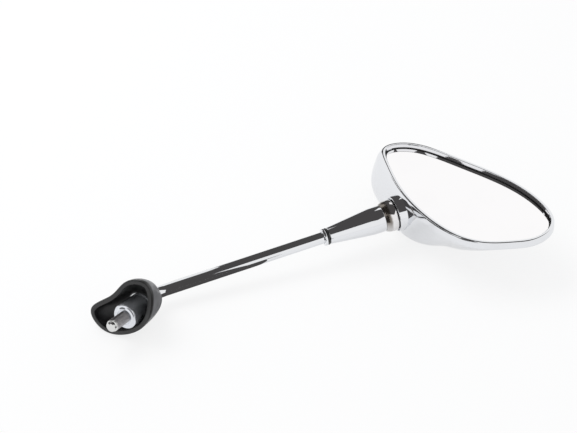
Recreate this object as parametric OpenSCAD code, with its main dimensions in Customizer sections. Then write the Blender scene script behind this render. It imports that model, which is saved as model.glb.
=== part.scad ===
// Motorcycle mirror, in millimetres, lying glass side up beside the foot of its bent stem.
// The origin is the middle of the flange face of the foot, where the threaded stud starts.
// The table it lies on is lie_height below the origin.

/* [Lying pose] */
// roll of the foot about +X as the mirror lies, degrees
lie_roll = -105; // [-112:1:-98]
// pitch of the foot about +Y as the mirror lies, degrees
lie_pitch = -22.4; // [-26:0.2:-19]
// yaw of the foot about +Z as the mirror lies, degrees
lie_yaw = -23.6; // [-40:0.2:-10]
// height of the flange centre over the table, mm
lie_height = 24; // [20:0.5:28]
// yaw of the mirror head on the table, degrees
head_yaw = -42; // [-48:1:-36]

/* [Stem] */
// diameter of the round stem, mm
stem_d = 10; // [9:0.5:10.5]
// from the flange face to the bend, mm
foot_run = 50; // [44:1:60]
// bend of the stem, degrees
stem_bend = 42.6; // [36:0.2:50]
// from the bend to the centre of the knuckle, mm
head_run = 206; // [150:1:260]
// radius of the stem's axis in the bend, mm
bend_r = 19; // [14:1:24]

/* [Foot and stud] */
// diameter of the chromed boss, mm
foot_d = 20.6; // [18:0.2:21]
// length of the boss behind its flange face, mm
foot_len = 23.6; // [20:0.2:24]
// diameter of the raised shoulder round the stud, mm
shoulder_d = 14; // [12:0.5:17]
// crest diameter of the stud's thread, mm
stud_d = 9.8; // [7.8:1:9.8]
// length of the stud outside the flange face, mm
stud_len = 19.5; // [15:0.5:30]

/* [Boot] */
// distance of the boot's open edge behind the flange face, mm
boot_edge = 5; // [3:0.5:7]
// distance of the boot's small end behind the flange face, mm
boot_end = 44; // [41:0.5:44]
// scale of the boot's open edge outline
boot_size = 1; // [0.96:0.01:1.1]
// thickness of the rubber at the open edge, mm
boot_wall = 3.8; // [2.6:0.1:4]

/* [Sleeve] */
// diameter of the sleeve at the knuckle, mm
sleeve_wide_d = 22.7; // [20:0.1:24]
// diameter of the sleeve at its thin end, mm
sleeve_thin_d = 14; // [13:0.5:17]
// length of the sleeve, mm
sleeve_len = 48.8; // [36:0.2:60]
// length of the sleeve's cylindrical part, mm
sleeve_straight = 10; // [4:0.5:16]
// diameter of the collar ring ahead of the sleeve, mm
ring_d = 14.6; // [13:0.1:17]

/* [Swivel] */
// diameter of the knuckle ball, mm
knuckle_d = 27; // [26:0.1:27.4]
// thread diameter of the swivel bolt, mm
bolt_d = 5; // [4:0.5:5]
// swing of the head each way on the knuckle, degrees
swing = 8; // [4:1:8]
// thickness of the seat liner, mm
liner_t = 0.95; // [0.7:0.05:1.1]
// thickness of the socket's middle, mm
socket_t = 2.4; // [2.2:0.1:2.6]

/* [Housing] */
// length of the rim, mm
head_len = 171; // [160:1:185]
// width of the rim, mm
head_wide = 88; // [84:1:96]
// depth of the housing from the rim to the belly, mm
head_deep = 49; // [46:0.5:52]
// wall of the housing, mm
wall = 2.5; // [2:0.1:3]
// width of the flat lip round the glass, mm
lip = 2.8; // [2:0.1:3.4]

/* [Glass] */
// thickness of the mirror glass, mm
glass_t = 2.2; // [1.8:0.1:2.4]
// depth of the glass face below the rim, mm
glass_low = 4.2; // [3.6:0.1:4.4]

/* [Hidden] */
$fn = 64;
// named fits and small steps
fit = 0.05;
slip = 0.1;
seat_gap = 0.15;
thread_fit = 0.02;
past = 1;
edge = 0.6;
stem_r = stem_d / 2;

// outline of the rim in the head frame, as a closed cubic spline's control points
head_shape = [for (p = [[81, -6.5], [81, 29], [25, 45.5], [-30, 36], [-78.5, 30.5], [-98, 3],
                        [-75.5, -12], [-37.5, -39], [38, -54], [67.5, -21]])
              [p[0] * head_len / 171, p[1] * head_wide / 88]];
// outline of the boot's open edge in the foot frame, the same way
boot_shape = [for (p = [[26.3, -5.4], [12.4, 15.1], [-19.1, 19.6], [-34.8, 9.9], [-39.6, -10],
                        [-8.8, -14.7], [5.3, -31.4], [31.5, -27.6]]) p * boot_size];
// knuckle centre in the head frame
ball_at = [-0.2544 * head_len, -head_wide / 2, -20];
// deepest point of the belly in the head frame
belly_at = [-0.082 * head_len, -0.091 * head_wide];
rim_band = 6.5;
first_ring = 1 / 14;
head_steps = 96;
head_rings = 14;
boot_steps = 56;
boot_rings = 9;

function turn_x(v, a) = [v[0], v[1] * cos(a) - v[2] * sin(a), v[1] * sin(a) + v[2] * cos(a)];
function turn_y(v, a) = [v[0] * cos(a) + v[2] * sin(a), v[1], v[2] * cos(a) - v[0] * sin(a)];
function turn_z(v, a) = [v[0] * cos(a) - v[1] * sin(a), v[0] * sin(a) + v[1] * cos(a), v[2]];
function lain(v) = turn_z(turn_y(turn_x(v, lie_roll), lie_pitch), lie_yaw);

// directions of the stem at the knuckle, in the lying frame
across_dir = lain([cos(stem_bend), 0, -sin(stem_bend)]);
down_dir = lain([0, 1, 0]);
ball_pos = lain([head_run * sin(stem_bend), 0, foot_run + head_run * cos(stem_bend)]);
// turn about the stem's axis that makes the swivel's lugs level
level = atan2(-across_dir[2], down_dir[2]);
head_pos = ball_pos - turn_z(ball_at, head_yaw);

function wrapped(i, n) = i - n * floor(i / n);
function spline(p, u) =
    let (n = len(p), i = floor(u), f = u - i)
    (p[wrapped(i - 1, n)] * pow(1 - f, 3) + p[wrapped(i, n)] * (3 * pow(f, 3) - 6 * f * f + 4)
     + p[wrapped(i + 1, n)] * (3 * f * f + 3 * f + 1 - 3 * pow(f, 3))
     + p[wrapped(i + 2, n)] * pow(f, 3)) / 6;
function heading(p, u) =
    let (n = len(p), i = floor(u), f = u - i)
    p[wrapped(i, n)] * (3 * f * f - 4 * f) - p[wrapped(i - 1, n)] * pow(1 - f, 2)
    + p[wrapped(i + 1, n)] * (2 * f + 1 - 3 * f * f) + p[wrapped(i + 2, n)] * f * f;
function outward(p, u) = let (h = heading(p, u)) [h[1], -h[0]] / norm(h);
function inset_point(p, u, inset) = spline(p, u) - outward(p, u) * inset;
function bezier(a, b, c, d, t) =
    a * pow(1 - t, 3) + b * 3 * t * pow(1 - t, 2) + c * 3 * t * t * (1 - t) + d * pow(t, 3);
function lifted(p, z) = [p[0], p[1], z];

// one rib of the housing: a band under the rim, then a curve down to the belly,
// steep round the wide end and shallow towards the tip
function eased(x) = let (c = min(max(x, 0), 1)) c * c * (3 - 2 * c);
function head_rib(u, inset, deep, t) =
    let (rim = inset_point(head_shape, u, inset),
         out = outward(head_shape, u),
         thin = min(max((rim[0] + 0.53 * head_len) / head_len, 0), 1),
         full = 1 - thin,
         band_end = rim + out * (0.6 + 3.4 * full * full),
         side = eased((full - 0.3) / 0.4),
         turn_in = (belly_at + (rim - belly_at) * 0.36) * (1 - side) + (rim + out * 16) * side)
    t == 0 ? lifted(rim, 0)
    : bezier(lifted(band_end, -rim_band),
             lifted(band_end + out * (9 * pow(full, 4) - 7 * thin * thin),
                    -rim_band - 31 * pow(full, 1.5) - 3),
             lifted(turn_in, -deep), lifted(belly_at, -deep), t - first_ring);

// one rib of the boot's outside, from the open edge to the small end
function boot_rib(u, t) =
    let (rim = spline(boot_shape, u),
         out = outward(boot_shape, u),
         way = rim / norm(rim),
         length = boot_end - boot_edge)
    bezier(lifted(rim, boot_edge), lifted(rim + out * 0.6, boot_edge + 0.34 * length),
           lifted(way * 15, boot_edge + 0.8 * length), lifted(way * 7.4, boot_end), t);

// one rib of the boot's inside, down to the flat floor behind the foot
function boot_inner_rib(u, t) =
    let (rim = inset_point(boot_shape, u, boot_wall),
         out = outward(boot_shape, u),
         way = rim / norm(rim),
         length = boot_floor - boot_edge)
    bezier(lifted(rim, boot_edge - past), lifted(rim + out * 1.5, boot_edge + 0.45 * length),
           lifted(way * 16, boot_floor - 1.5), lifted(way * 11.6, boot_floor), t);

// solid skinned over rings of points, capped flat on the first ring and closed on a pole
module skin(rings, pole, upward) {
    n = len(rings[0]);
    m = len(rings);
    cap = [for (i = [0:n - 1]) upward ? i : n - 1 - i];
    sides = [for (j = [0:m - 2], i = [0:n - 1])
             let (a = j * n + i, b = j * n + (i + 1) % n, c = b + n, d = a + n)
             each (upward ? [[c, b, a], [d, c, a]] : [[a, b, c], [a, c, d]])];
    fan = [for (i = [0:n - 1])
           let (a = (m - 1) * n + i, b = (m - 1) * n + (i + 1) % n)
           upward ? [b, a, m * n] : [a, b, m * n]];
    polyhedron(concat([for (ring = rings) each ring], [pole]), concat([cap], sides, fan));
}

module head_skin(inset, deep) {
    span = len(head_shape);
    skin([for (j = [0:head_rings - 1]) [for (i = [0:head_steps - 1])
          head_rib(i * span / head_steps, inset, deep, j / head_rings)]],
         lifted(belly_at, -deep), false);
}

// flat plate in the rim's outline, inset from it, between two heights
module head_plate(inset, low, high) {
    span = len(head_shape);
    translate([0, 0, low])
        linear_extrude(high - low)
            polygon([for (i = [0:head_steps - 1])
                     inset_point(head_shape, i * span / head_steps, inset)]);
}

module head_band(outer, inner, low, high) {
    difference() {
        head_plate(outer, low, high);
        head_plate(inner, low - past, high + past);
    }
}

// frames of the foot, the knuckle and the head in the lying frame
module at_foot() { rotate([lie_roll, lie_pitch, lie_yaw]) children(); }
module at_ball() {
    at_foot() translate([0, 0, foot_run]) rotate([0, stem_bend, 0])
        translate([0, 0, head_run]) children();
}
module at_head() { translate(head_pos) rotate([0, 0, head_yaw]) children(); }

// stem, from inside the foot round the bend into the knuckle; the long straight laps
// a little over the bend so that the two are one solid
rod_start = 10;
rod_end = -1.2;
lap = 0.1;
lap_step = 0.005;
bend_side = bend_r * tan(stem_bend / 2);
module stem_rod() {
    color("silver") at_foot() {
        translate([0, 0, rod_start]) cylinder(h = foot_run - bend_side - rod_start, r = stem_r);
        translate([bend_r, 0, foot_run - bend_side]) rotate([90, 0, 180])
            rotate_extrude(angle = stem_bend) translate([bend_r, 0]) circle(r = stem_r);
        translate([0, 0, foot_run]) rotate([0, stem_bend, 0]) translate([0, 0, bend_side - lap])
            cylinder(h = head_run - bend_side + rod_end + lap, r = stem_r + lap_step);
    }
}

// turned boss with the stem in its back and the stud in its face
shoulder_h = 0.8;
stud_in = 8;
root_r = stud_d / 2 - 0.7;
module foot() {
    foot_r = foot_d / 2;
    color("silver") at_foot() difference() {
        union() {
            cylinder(h = shoulder_h, r = shoulder_d / 2);
            translate([0, 0, shoulder_h]) cylinder(h = edge, r1 = foot_r - edge, r2 = foot_r);
            translate([0, 0, shoulder_h + edge])
                cylinder(h = foot_len - shoulder_h - 2 * edge, r = foot_r);
            translate([0, 0, foot_len - edge]) cylinder(h = edge, r1 = foot_r, r2 = foot_r - edge);
        }
        translate([0, 0, -past]) cylinder(h = stud_in + past, r = root_r + thread_fit);
        translate([0, 0, rod_start - slip]) cylinder(h = foot_len, r = stem_r + fit);
    }
}

// stud: full thread outside the flange face, root diameter inside the foot
stud_tip = 1.2;
module mounting_stud() {
    stud_r = stud_d / 2;
    color("silver") at_foot() {
        translate([0, 0, -past]) cylinder(h = stud_in - slip + past, r = root_r);
        translate([0, 0, stud_tip - stud_len]) cylinder(h = stud_len - stud_tip, r = stud_r);
        translate([0, 0, -stud_len]) cylinder(h = stud_tip, r1 = stud_r - stud_tip, r2 = stud_r);
    }
}

// ring between the foot and the floor of the boot
ring_t = 1.7;
boot_floor = foot_len + ring_t + 0.2;
module boot_ring() {
    color("silver") at_foot() translate([0, 0, foot_len + slip]) difference() {
        cylinder(h = ring_t, r = foot_d / 2 + 0.6);
        translate([0, 0, -past]) cylinder(h = ring_t + 2 * past, r = stem_r + slip);
    }
}

// rubber boot that hides the fixing, open towards the stud
module boot() {
    span = len(boot_shape);
    color("#1c1c1e") at_foot() difference() {
        skin([for (j = [0:boot_rings]) [for (i = [0:boot_steps - 1])
              boot_rib(i * span / boot_steps, j / boot_rings)]], [0, 0, boot_end], true);
        skin([for (j = [0:boot_rings]) [for (i = [0:boot_steps - 1])
              boot_inner_rib(i * span / boot_steps, j / boot_rings)]], [0, 0, boot_floor], true);
        translate([0, 0, boot_floor - past])
            cylinder(h = boot_end - boot_floor + 2 * past, r = stem_r + 0.2);
    }
}

// tapered sleeve, its seal and its collar ring, placed back from the knuckle
sleeve_front = -7.5;
sleeve_back = sleeve_front - sleeve_len;
spigot_r = 8;
spigot_len = 12;
module sleeve() {
    wide_r = sleeve_wide_d / 2;
    thin_r = sleeve_thin_d / 2;
    color("silver") at_ball() difference() {
        rotate_extrude() polygon([[stem_r + slip, sleeve_back], [thin_r - edge, sleeve_back],
            [thin_r, sleeve_back + edge], [wide_r, sleeve_front - sleeve_straight],
            [wide_r, sleeve_front], [stem_r + slip, sleeve_front]]);
        translate([0, 0, sleeve_front - spigot_len - slip])
            cylinder(h = spigot_len + slip + past, r = spigot_r + slip);
    }
}

seal_r = 1.05;
module o_ring() {
    color("#151515") at_ball() translate([0, 0, sleeve_back - seal_r - 0.05])
        rotate_extrude() translate([stem_r + seal_r + fit, 0]) circle(r = seal_r, $fn = 32);
}

collar_w = 2.6;
collar_back = sleeve_back - 2 * seal_r - 0.1 - collar_w;
module sleeve_ring() {
    out_r = ring_d / 2;
    color("silver") at_ball() rotate_extrude() translate([0, collar_back])
        polygon([[stem_r + slip, 0], [out_r - edge, 0], [out_r, edge], [out_r, collar_w - edge],
                 [out_r - edge, collar_w], [stem_r + slip, collar_w]]);
}

// swivel: ball, liner, socket and the spring stack on the bolt
ball_r = knuckle_d / 2;
bolt_r = bolt_d / 2;
liner_in = ball_r + fit;
liner_out = liner_in + liner_t;
seat_r = liner_out + slip;
cup_r = seat_r + socket_t;
dish_in = cup_r + fit;
dish_t = 1.15;
dish_out = dish_in + dish_t;
washer_in = dish_out + slip;
// both swings together, and the cone angles that keep the bolt clear
both_swings = acos(cos(swing) * cos(swing));
socket_hole = asin(bolt_r / seat_r) + both_swings + 0.9;
dish_hole = asin(bolt_r / dish_in) + swing + 0.9;
dish_edge = socket_hole + swing + 2.5;
cup_edge = dish_edge + swing;
cup_plane = dish_in * cos(cup_edge);
washer_top = washer_in + 1.1;
spring_h = 1.8;
nut_h = 4;
bolt_tip = washer_top + spring_h + nut_h + 0.8;
socket_r = 12.05;
socket_front = 9.2;

// part of a spherical shell between two cone angles about the stem's axis
module dish(inner, outer, from, to) {
    reach = 2 * outer;
    rotate_extrude($fn = 96) intersection() {
        difference() {
            circle(r = outer, $fn = 128);
            circle(r = inner, $fn = 128);
        }
        polygon([[0, 0], [reach * sin(from), reach * cos(from)],
                 [reach * sin((from + to) / 2), reach * cos((from + to) / 2)],
                 [reach * sin(to), reach * cos(to)]]);
    }
}

module knuckle() {
    color("silver") at_ball() difference() {
        union() {
            intersection() {
                sphere(r = ball_r, $fn = 96);
                translate([0, 0, sleeve_front + fit]) cylinder(h = 3 * ball_r, r = 2 * ball_r);
            }
            translate([0, 0, sleeve_front - spigot_len]) cylinder(h = spigot_len + past, r = spigot_r);
        }
        translate([0, 0, sleeve_front - spigot_len - past])
            cylinder(h = rod_end + slip - sleeve_front + spigot_len + past, r = stem_r + fit);
        translate([0, 0, 1]) cylinder(h = 2 * ball_r, r = bolt_r + thread_fit);
    }
}

module swivel_bolt() {
    color("silver") at_ball() {
        translate([0, 0, 1.2]) cylinder(h = bolt_tip - 0.5 - 1.2, r = bolt_r);
        translate([0, 0, bolt_tip - 0.5]) cylinder(h = 0.5, r1 = bolt_r, r2 = bolt_r - 0.5);
    }
}

module seat_liner() { color("#e6e2d6") at_ball() dish(liner_in, liner_out, socket_hole + 2, 50); }
module spherical_washer() { color("silver") at_ball() dish(dish_in, dish_out, dish_hole, dish_edge); }

module cup_washer() {
    washer_r = 6.5;
    color("silver") at_ball() difference() {
        translate([0, 0, washer_in * cos(asin(washer_r / washer_in))])
            cylinder(h = washer_top - washer_in * cos(asin(washer_r / washer_in)), r = washer_r);
        sphere(r = washer_in, $fn = 128);
        cylinder(h = 2 * washer_in, r = bolt_r + slip);
    }
}

// two coned springs back to back
module disc_springs() {
    half = spring_h / 2;
    thick = 0.5;
    color("silver") at_ball() translate([0, 0, washer_top]) rotate_extrude() {
        polygon([[bolt_r + 0.2, half - thick], [5.6, 0], [5.6, thick], [bolt_r + 0.2, half]]);
        polygon([[bolt_r + 0.2, half], [5.6, spring_h - thick], [5.6, spring_h],
                 [bolt_r + 0.2, half + thick]]);
    }
}

module lock_nut() {
    flats = 8;
    color("silver") at_ball() translate([0, 0, washer_top + spring_h]) difference() {
        intersection() {
            cylinder(h = nut_h, r = flats / sqrt(3), $fn = 6);
            cylinder(h = nut_h, r1 = flats / sqrt(3) + 2, r2 = flats / sqrt(3) - 0.5);
        }
        translate([0, 0, -past]) cylinder(h = nut_h + 2 * past, r = bolt_r + thread_fit);
    }
}

// socket with the ball seat outside, the washer's seat inside and two lugs for screws
lug_x = 17.6;
lug_r = 3.6;
lug_low = 14;
lug_t = 1.8;
screw_r = 1.5;
module at_lugs() {
    at_ball() rotate([0, 0, level]) for (side = [-1, 1]) translate([side * lug_x, 0, 0])
        children();
}
arm_in = 12.1;
arm_out = 13.3;
arm_low = cup_plane - 1.4;
module swivel_socket() {
    arm_w = 2 * lug_r;
    color("silver") difference() {
        union() {
            at_ball() translate([0, 0, socket_front])
                cylinder(h = cup_plane - socket_front, r = socket_r);
            at_ball() rotate([0, 0, level]) for (side = [0, 180]) rotate([0, 0, side]) {
                translate([arm_in - past, -lug_r, arm_low])
                    cube([arm_out - arm_in + past, arm_w, lug_low + lug_t - arm_low]);
                translate([arm_in, -lug_r, lug_low]) cube([lug_x - arm_in, arm_w, lug_t]);
            }
            at_lugs() translate([0, 0, lug_low]) cylinder(h = lug_t, r = lug_r);
        }
        at_ball() sphere(r = seat_r, $fn = 128);
        at_ball() intersection() {
            translate([0, 0, lug_low + lug_t]) mirror([0, 0, 1])
                cylinder(h = lug_low + lug_t - cup_plane, r = arm_in);
            translate([0, 0, cup_plane]) cylinder(h = lug_low, r = arm_in);
        }
        at_ball() cylinder(h = 2 * cup_r, r1 = 0, r2 = 2 * cup_r * tan(socket_hole));
        at_ball() difference() {
            cylinder(h = cup_plane + past, r = cup_r * sin(cup_edge));
            sphere(r = cup_r, $fn = 128);
            cylinder(h = cup_r * cos(cup_edge) - 0.5, r = socket_r);
        }
        at_lugs() cylinder(h = 2 * lug_low, r = screw_r + 0.15);
    }
}

screw_tip = 11.4;
module socket_screws() {
    head_r = 2.7;
    head_h = 1.9;
    color("silver") at_lugs() difference() {
        union() {
            translate([0, 0, screw_tip])
                cylinder(h = lug_low + lug_t - screw_tip + past, r = screw_r - 0.02);
            translate([0, 0, lug_low + lug_t]) cylinder(h = head_h, r = head_r);
        }
        translate([0, 0, lug_low + lug_t + head_h - 1.1]) cylinder(h = past + 1.1, r = 1.45, $fn = 6);
    }
}

// pod-shaped housing: skinned outside and cavity, ledge for the glass, neck hole and screw posts
ledge = 5.6;
ledge_t = 1.8;
tape_t = 0.6;
ledge_top = -(glass_low + glass_t + tape_t + fit);
module housing() {
    post_r = 4;
    neck_r = socket_r + seat_gap;
    ball_room = 1.3;
    color("silver") difference() {
        union() {
            difference() {
                at_head() head_skin(0, head_deep);
                at_head() intersection() {
                    head_skin(wall, head_deep - wall);
                    translate([-head_len, -head_wide, ledge_top - ledge_t - head_deep])
                        cube([2 * head_len, 2 * head_wide, head_deep]);
                }
            }
            intersection() {
                at_head() head_skin(wall / 2, head_deep - wall / 2);
                at_lugs() cylinder(h = lug_low - fit, r = post_r);
            }
        }
        at_head() head_plate(lip, ledge_top, past);
        at_head() head_plate(ledge, ledge_top - ledge_t - past, past);
        at_ball() cylinder(h = cup_plane + past, r = neck_r);
        at_ball() sphere(r = ball_r + ball_room, $fn = 96);
        at_ball() rotate([0, 0, level]) for (side = [0, 180]) rotate([0, 0, side])
            translate([arm_in - past, -lug_r - 0.2, arm_low - 0.2])
                cube([arm_out - arm_in + past + 0.2, 2 * lug_r + 0.4, lug_low]);
        at_lugs() translate([0, 0, screw_tip - 0.4]) cylinder(h = lug_low, r = screw_r);
    }
}

seal_w = 0.9;
module foam_tape() {
    color("#202020") at_head()
        head_band(lip + seal_w + 0.5, ledge - 0.3, ledge_top + 0.02, ledge_top + tape_t);
}
module edge_seal() {
    color("#141414") at_head()
        head_band(lip + 0.06, lip + seal_w - 0.06, ledge_top + 0.02, -glass_low - 0.5);
}
module mirror_glass() {
    color("#dfe6ea") at_head() head_plate(lip + seal_w, -glass_low - glass_t, -glass_low);
}

stem_rod();
foot();
mounting_stud();
boot();
boot_ring();
o_ring();
sleeve_ring();
sleeve();
knuckle();
swivel_bolt();
seat_liner();
swivel_socket();
socket_screws();
spherical_washer();
cup_washer();
disc_springs();
lock_nut();
housing();
foam_tape();
edge_seal();
mirror_glass();
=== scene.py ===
"""Looks of a chromed motorcycle mirror lying on a pale table, laid out as a Blender add-on.

Chromed pieces are turned and skinned finely from the same sizes as the solids, so that they
reflect smoothly, and every piece gets a finish from shader nodes.
"""
from math import acos, asin, atan2, cos, floor, pi, radians, sin, sqrt, tan

import bpy
from bpy.props import (BoolProperty, FloatProperty, FloatVectorProperty, IntProperty,
                       PointerProperty)
from mathutils import Matrix, Vector


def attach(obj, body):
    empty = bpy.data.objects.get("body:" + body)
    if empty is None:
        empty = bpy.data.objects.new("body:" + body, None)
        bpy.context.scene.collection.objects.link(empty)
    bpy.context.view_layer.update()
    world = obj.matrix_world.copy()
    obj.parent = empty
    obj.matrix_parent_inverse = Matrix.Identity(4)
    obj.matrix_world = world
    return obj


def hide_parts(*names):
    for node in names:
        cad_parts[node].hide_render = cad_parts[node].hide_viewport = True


bl_info = {
    "name": "Motorcycle mirror looks",
    "version": (1, 0, 0),
    "blender": (4, 5, 0),
    "location": "View3D > Sidebar > Mirror",
    "description": "Dresses the packed motorcycle mirror and sets it on a pale table",
    "category": "Object",
}

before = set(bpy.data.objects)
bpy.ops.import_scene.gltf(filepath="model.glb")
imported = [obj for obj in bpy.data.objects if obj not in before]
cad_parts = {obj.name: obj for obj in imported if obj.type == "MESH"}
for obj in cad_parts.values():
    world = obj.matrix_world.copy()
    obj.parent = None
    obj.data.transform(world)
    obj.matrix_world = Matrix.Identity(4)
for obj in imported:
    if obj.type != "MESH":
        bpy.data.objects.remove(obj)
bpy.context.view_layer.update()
MM = 0.001

# sizes repeated from the part's source, in millimetres and degrees
THREAD_FIT = 0.02
FIT = 0.05
SLIP = 0.1
LIE = (-105.0, -22.4, -23.6)
HEAD_YAW = -42.0
STEM_R = 5.0
FOOT_RUN = 50.0
STEM_BEND = 42.6
HEAD_RUN = 206.0
BEND_R = 19.0
ROD_START = 10.0
ROD_END = -1.2
FOOT_R = 10.3
FOOT_LEN = 23.6
SHOULDER_R = 7.0
SHOULDER_H = 0.8
STUD_R = 4.9
ROOT_R = 4.2
STUD_LEN = 19.5
STUD_IN = 8.0
BOOT_EDGE = 5.0
BOOT_END = 44.0
BOOT_WALL = 3.8
BOOT_FLOOR = 25.5
SLEEVE_FRONT = -7.5
SLEEVE_BACK = -56.3
SLEEVE_WIDE_R = 11.35
SLEEVE_THIN_R = 7.0
SLEEVE_STRAIGHT = 10.0
COLLAR_R = 7.3
COLLAR_W = 2.6
COLLAR_GAP = 2.2
COLLAR_BACK = SLEEVE_BACK - COLLAR_GAP - COLLAR_W
BALL_R = 13.5
SPIGOT_R = 8.0
SPIGOT_LEN = 12.0
BOLT_R = 2.5
NECK_R = 12.2
BALL_ROOM = 14.8
LUG_X = 17.6
LUG_LOW = 14.0
LUG_T = 1.8
SCREW_R = 1.5
SCREW_TIP = 11.4
POST_R = 4.0
HEAD_LEN = 171.0
HEAD_WIDE = 88.0
HEAD_DEEP = 49.0
WALL = 2.5
LIP = 2.8
LEDGE = 5.6
LEDGE_T = 1.8
GLASS_T = 2.2
GLASS_LOW = 4.2
TAPE_T = 0.6
LEDGE_TOP = -(GLASS_LOW + GLASS_T + TAPE_T + FIT)
SEAL_W = 0.9
RIM_BAND = 6.5
HEAD_SHAPE = [(81, -6.5), (81, 29), (25, 45.5), (-30, 36), (-78.5, 30.5), (-98, 3),
              (-75.5, -12), (-37.5, -39), (38, -54), (67.5, -21)]
BOOT_SHAPE = [(26.3, -5.4), (12.4, 15.1), (-19.1, 19.6), (-34.8, 9.9), (-39.6, -10),
              (-8.8, -14.7), (5.3, -31.4), (31.5, -27.6)]
BALL_AT = Vector((-0.2544 * HEAD_LEN, -HEAD_WIDE / 2, -20))
BELLY_AT = Vector((-0.082 * HEAD_LEN, -0.091 * HEAD_WIDE))

# form of the housing's ribs, full towards the broad end and thin towards the tip, as in the part
HEAD_REACH = 0.53
FLARE_TIP = 0.6
FLARE_BROAD = 3.4
SIDE_START = 0.3
SIDE_SPAN = 0.4
TURN_IN = 0.36
SIDE_OUT = 16
PULL_BROAD = 9
PULL_TIP = 7
DROP_BROAD = 31
DROP_TIP = 3

# form of the boot's ribs, outside and in the hollow, in millimetres and shares
BOOT_TOP_R = 7.4
BOOT_SHOULDER_R = 14
BOOT_SHOULDER_AT = 0.8
BOOT_SIDE_IN = 0.4
BOOT_SIDE_AT = 0.34
BOOT_HOLE_R = STEM_R + 0.2
HOLLOW_OUT = 1.5
HOLLOW_AT = 0.45
HOLLOW_R = 16
HOLLOW_DROP = 1.5
HOLLOW_TOP_R = 11.6

# forms and roundings that no solid has, in millimetres
GROOVE = ((1.6, 0.0), (1.4, 0.25), (1.0, 0.25), (0.8, 0.0))
SHOULDER_FLARE = 1.3
NECK_FRONT = 3.5
NECK_IN = 11.2
NECK_RING_R = 15.3
NECK_ROOM = 14.7
NECK_EDGE = 0.15
NECK_ROUND = 0.5
BAND_ROUND = 2.4
LIP_ROUND = 0.6

# height over the ball's centre where the neck hole and the posts start, in millimetres
CUT_FROM = 2

# where the painted reflection on the ball and the grey behind the stud's nose lie, in metres
PAINTED_REFLECTION_RING = (-0.0042, -0.0026)
PAINTED_REFLECTION_WAVER = 0.0012
PAINTED_REFLECTION_SIDE = (0.004, 0.008)
STUD_GREY_START = 0.0036
STUD_GREY_BLEND = 0.0012

# colours of the painted reflection on the ball, the grey behind the stud's nose, the dust on the
# rubber and the painted sheen on the boot
PAINTED_REFLECTION_BROWN = (0.16, 0.135, 0.11)
STUD_GREY = (0.3, 0.29, 0.3)
DUST = (0.16, 0.16, 0.165)
PAINTED_SHEEN_GREY = (0.2, 0.2, 0.21)


# frames of the foot, the knuckle and the head

def turn(axis, degrees):
    return Matrix.Rotation(radians(degrees), 4, axis)


def shift(x, y, z):
    return Matrix.Translation((x, y, z))


AT_FOOT = turn("Z", LIE[2]) @ turn("Y", LIE[1]) @ turn("X", LIE[0])
AT_BALL = AT_FOOT @ shift(0, 0, FOOT_RUN) @ turn("Y", STEM_BEND) @ shift(0, 0, HEAD_RUN)
HEAD_POS = AT_BALL.translation - turn("Z", HEAD_YAW).to_3x3() @ BALL_AT
AT_HEAD = Matrix.Translation(HEAD_POS) @ turn("Z", HEAD_YAW)
LEVEL = atan2(-AT_BALL.col[0].z, AT_BALL.col[1].z)
AT_LEVEL = AT_BALL @ Matrix.Rotation(LEVEL, 4, "Z")


# closed splines and ribs
TINY = 1e-6
CORNER_SHARE = 0.45
HALVINGS = 24


def blend(points, u, weights_of):
    """The sum of the four corners round a place of a closed spline, by their weights."""
    i = floor(u)
    total = Vector((0, 0))
    for k, weight in enumerate(weights_of(u - i)):
        total += Vector(points[(i + k - 1) % len(points)]) * weight
    return total


def spline(points, u):
    """A point of the closed cubic B-spline that the corners pull."""
    return blend(points, u, lambda f: ((1 - f) ** 3, 3 * f ** 3 - 6 * f * f + 4,
                                       1 + 3 * f + 3 * f * f - 3 * f ** 3, f ** 3)) / 6


def outward(points, u):
    """The direction that points out of the closed spline at that place."""
    way = blend(points, u, lambda f: (-(1 - f) ** 2, 3 * f * f - 4 * f,
                                      1 + 2 * f - 3 * f * f, f * f))
    return Vector((way.y, -way.x)).normalized()


def head_outline(inset, z, around):
    """The rim's outline, moved in by that much, as a ring of points at one height."""
    places = [i * len(HEAD_SHAPE) / around for i in range(around)]
    return [lifted(spline(HEAD_SHAPE, u) - outward(HEAD_SHAPE, u) * inset, z) for u in places]


def bezier(a, b, c, d, t):
    return a * (1 - t) ** 3 + b * 3 * t * (1 - t) ** 2 + c * 3 * t * t * (1 - t) + d * t ** 3


def lifted(p, z):
    return Vector((p.x, p.y, z))


def eased(x):
    c = min(max(x, 0.0), 1.0)
    return c * c * (3 - 2 * c)


def head_rib(u, inset, deep):
    """The four points of one rib of the housing, from the band's end to the belly."""
    out = outward(HEAD_SHAPE, u)
    rim = spline(HEAD_SHAPE, u) - out * inset
    thin = min(max((rim.x + HEAD_REACH * HEAD_LEN) / HEAD_LEN, 0), 1)
    full = 1 - thin
    band_end = rim + out * (FLARE_TIP + FLARE_BROAD * full * full)
    side = eased((full - SIDE_START) / SIDE_SPAN)
    inward = BELLY_AT + (rim - BELLY_AT) * TURN_IN
    turn_in = inward * (1 - side) + (rim + out * SIDE_OUT) * side
    pull = out * (PULL_BROAD * full ** 4 - PULL_TIP * thin * thin)
    return (lifted(band_end, -RIM_BAND),
            lifted(band_end + pull, -RIM_BAND - DROP_BROAD * full ** 1.5 - DROP_TIP),
            lifted(turn_in, -deep), lifted(BELLY_AT, -deep))


def rib_place(rib, z):
    """How far along a rib it comes down to that height, by halving."""
    low, high = 0.0, 1.0
    for _ in range(HALVINGS):
        t = (low + high) / 2
        if bezier(*rib, t).z > z:
            low = t
        else:
            high = t
    return low


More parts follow.
